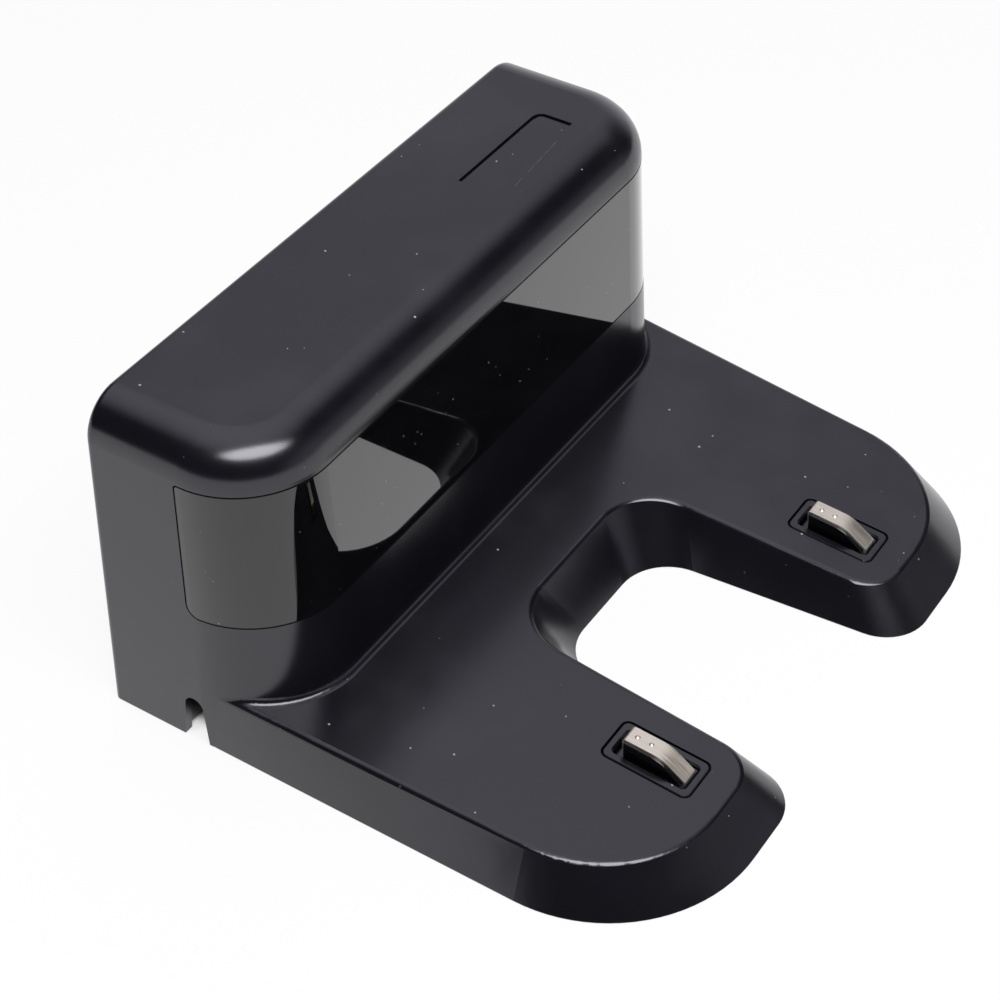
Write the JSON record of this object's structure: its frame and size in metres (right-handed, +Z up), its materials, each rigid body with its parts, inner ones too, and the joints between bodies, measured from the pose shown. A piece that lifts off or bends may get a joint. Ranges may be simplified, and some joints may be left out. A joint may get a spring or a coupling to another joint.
{
  "type": "robot vacuum charging dock",
  "caption": "Floor dock that charges a robot vacuum: low forked ramp with sprung contacts, upright beacon tower with a gloss window, cord bay underneath.",
  "frame": {"origin": "on the floor, under the middle of the outline seen from above", "axes": "+X to the right seen from the front, +Y to the back, where the tower stands, +Z up"},
  "size_m": [0.151, 0.13, 0.0764],
  "materials": {
    "housing": "fine satin grain",
    "window": "polished, near black",
    "light_guide": "smoked, polished",
    "screw_steel": "zinc plated",
    "inlet_body": "matt black",
    "terminal_brass": "plain",
    "circuit_board": "green solder mask",
    "ferrite": "matt grey",
    "winding_tape": "yellow tape over copper",
    "capacitor_sleeve": "shrunk sleeve",
    "lamp_clear": "water clear",
    "lamp_tinted": "smoked lens",
    "lead_sleeve": "wire insulation",
    "plunger": "matt black",
    "contact_nickel": "nickel plated, worn",
    "spring_steel": "bright wire",
    "foot_rubber": "matt"
  },
  "bodies": {
    "dock": {"main_housing": "housing", "base_plate": "housing", "contact_holder_left": "housing", "contact_holder_right": "housing", "front_window": "window", "indicator_light_guide": "light_guide", "base_screws": "screw_steel", "board_screws": "screw_steel", "power_inlet": "inlet_body", "inlet_pins": "terminal_brass", "power_board": "circuit_board", "ir_board": "circuit_board", "transformer_core": "ferrite", "transformer_winding": "winding_tape", "bulk_capacitor": "capacitor_sleeve", "output_capacitor": "capacitor_sleeve", "indicator_lamp": "lamp_clear", "ir_emitter_left": "lamp_tinted", "ir_emitter_middle": "lamp_tinted", "ir_emitter_right": "lamp_tinted", "emitter_hood": "inlet_body", "board_harness": "lead_sleeve", "contact_spring_left": "spring_steel", "contact_spring_right": "spring_steel", "contact_terminal_left": "terminal_brass", "contact_terminal_right": "terminal_brass", "contact_lead_left": "lead_sleeve", "contact_lead_right": "lead_sleeve", "mains_lead_front": "lead_sleeve", "mains_lead_rear": "lead_sleeve", "foot_front_left": "foot_rubber", "foot_front_right": "foot_rubber", "foot_rear_left": "foot_rubber", "foot_rear_right": "foot_rubber"},
    "contact_left": {"contact_plunger_left": "plunger", "contact_strip_left": "contact_nickel"},
    "contact_right": {"contact_plunger_right": "plunger", "contact_strip_right": "contact_nickel"}
  },
  "joints": [
    {"name": "contact_left_press", "type": "slide", "parent": "dock", "child": "contact_left", "axis": [0, 0, -1], "range_m": [0, 0.0024], "stiffness_N_per_m": 200, "springref_m": -0.0015, "deforming": ["contact_spring_left"]},
    {"name": "contact_right_press", "type": "slide", "parent": "dock", "child": "contact_right", "axis": [0, 0, -1], "range_m": [0, 0.0024], "stiffness_N_per_m": 200, "springref_m": -0.0015, "deforming": ["contact_spring_right"]}
  ]
}
